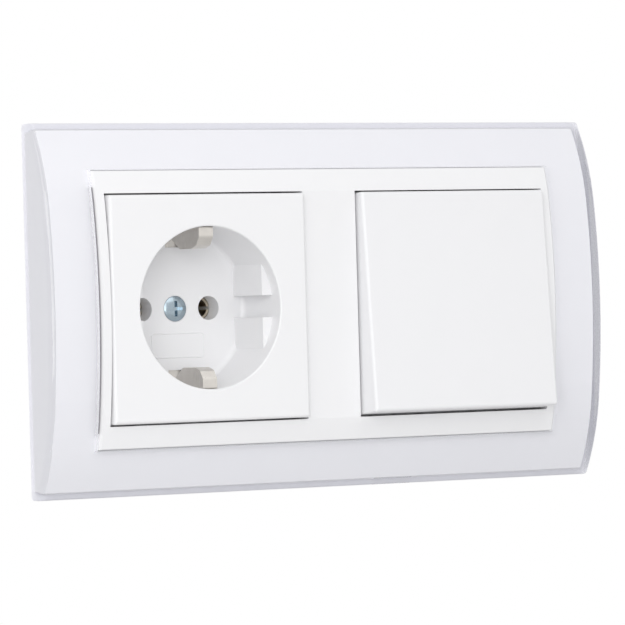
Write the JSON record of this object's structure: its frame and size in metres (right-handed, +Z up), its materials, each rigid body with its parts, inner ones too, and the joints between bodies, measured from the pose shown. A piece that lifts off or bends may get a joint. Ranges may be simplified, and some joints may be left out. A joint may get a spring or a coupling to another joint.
{
  "type": "switch and socket combination",
  "caption": "Flush wall unit in a clear arched cover frame: an earthed socket outlet beside a large rocker switch, with insulating bodies behind the wall plane.",
  "frame": {"origin": "middle of the cover frame on the wall plane, which is the middle of the four box screw slots at the back of the support rings", "axes": "+X to the right seen from the room, +Z up, +Y into the wall"},
  "size_m": [0.16, 0.0478, 0.09],
  "materials": {
    "clear_plastic": "water-clear polished moulding",
    "white_gloss_plastic": "pure white, glossy moulding",
    "backing_plastic": "cool white moulding behind the clear shell",
    "rocker_plastic": "pure white, glossy moulding",
    "ring_steel": "zinc-plated sheet",
    "base_plastic": "pale grey insulating moulding",
    "contact_brass": "bright strip",
    "contact_silver": "silver-faced strip",
    "clip_metal": "nickel-plated spring strip",
    "spring_steel": "spring strip",
    "screw_zinc": "zinc-plated screw",
    "lever_plastic": "orange lever moulding",
    "rivet_steel": "plated rivets",
    "cradle_plastic": "pale grey bearing plastic"
  },
  "bodies": {
    "root": {"clear_cover": "clear_plastic", "white_backing": "backing_plastic", "inner_frame": "white_gloss_plastic", "socket_cover": "white_gloss_plastic", "cover_screw": "screw_zinc", "socket_ring": "ring_steel", "socket_ring_rivets": "rivet_steel", "socket_base": "base_plastic", "earth_strap": "clip_metal", "line_contact": "contact_brass", "neutral_contact": "contact_brass", "common_terminal": "contact_brass", "upper_contact": "contact_brass", "lower_contact": "contact_brass", "switch_ring": "ring_steel", "switch_ring_rivets": "rivet_steel", "switch_top": "base_plastic", "switch_base": "base_plastic", "line_clamp_spring": "spring_steel", "neutral_clamp_spring": "spring_steel", "earth_clamp_spring": "spring_steel", "common_clamp_spring": "spring_steel", "upper_clamp_spring": "spring_steel", "lower_clamp_spring": "spring_steel"},
    "rocker_assembly": {"rocker": "rocker_plastic", "rocker_cradle": "cradle_plastic", "plunger_spring": "spring_steel"},
    "plunger": {"plunger": "cradle_plastic"},
    "see_saw": {"see_saw_contact": "contact_silver"},
    "line_lever": {"line_release_lever": "lever_plastic"},
    "neutral_lever": {"neutral_release_lever": "lever_plastic"},
    "earth_lever": {"earth_release_lever": "lever_plastic"},
    "common_lever": {"common_release_lever": "lever_plastic"},
    "upper_lever": {"upper_release_lever": "lever_plastic"},
    "lower_lever": {"lower_release_lever": "lever_plastic"}
  },
  "joints": [
    {"name": "rocker_rock", "type": "hinge", "parent": "root", "child": "rocker_assembly", "pos_m": [0.0355, -0.008, 0], "axis": [1, 0, 0], "range_deg": [0, 8.34]},
    {"name": "plunger_slide", "type": "slide", "parent": "rocker_assembly", "child": "plunger", "axis": [0, -0.9974, 0.0727], "range_m": [0, 0.0008], "stiffness_N_per_m": 150, "springref_m": -0.001, "deforming": ["plunger_spring"]},
    {"name": "see_saw_rock", "type": "hinge", "parent": "root", "child": "see_saw", "pos_m": [0.0355, 0.007, 0], "axis": [1, 0, 0], "range_deg": [-8, 0]},
    {"name": "line_lever_push", "type": "slide", "parent": "root", "child": "line_lever", "axis": [0, -1, 0], "range_m": [0, 0.0015], "stiffness_N_per_m": 100, "springref_m": -0.0005, "deforming": ["line_clamp_spring"]},
    {"name": "neutral_lever_push", "type": "slide", "parent": "root", "child": "neutral_lever", "axis": [0, -1, 0], "range_m": [0, 0.0015], "stiffness_N_per_m": 100, "springref_m": -0.0005, "deforming": ["neutral_clamp_spring"]},
    {"name": "earth_lever_push", "type": "slide", "parent": "root", "child": "earth_lever", "axis": [0, -1, 0], "range_m": [0, 0.0015], "stiffness_N_per_m": 100, "springref_m": -0.0005, "deforming": ["earth_clamp_spring"]},
    {"name": "common_lever_push", "type": "slide", "parent": "root", "child": "common_lever", "axis": [0, -1, 0], "range_m": [0, 0.0015], "stiffness_N_per_m": 100, "springref_m": -0.0005, "deforming": ["common_clamp_spring"]},
    {"name": "upper_lever_push", "type": "slide", "parent": "root", "child": "upper_lever", "axis": [0, -1, 0], "range_m": [0, 0.0015], "stiffness_N_per_m": 100, "springref_m": -0.0005, "deforming": ["upper_clamp_spring"]},
    {"name": "lower_lever_push", "type": "slide", "parent": "root", "child": "lower_lever", "axis": [0, -1, 0], "range_m": [0, 0.0015], "stiffness_N_per_m": 100, "springref_m": -0.0005, "deforming": ["lower_clamp_spring"]}
  ],
  "couplings": [
    {"joint": "see_saw_rock", "follows": "rocker_rock", "ratio": -0.959}
  ]
}
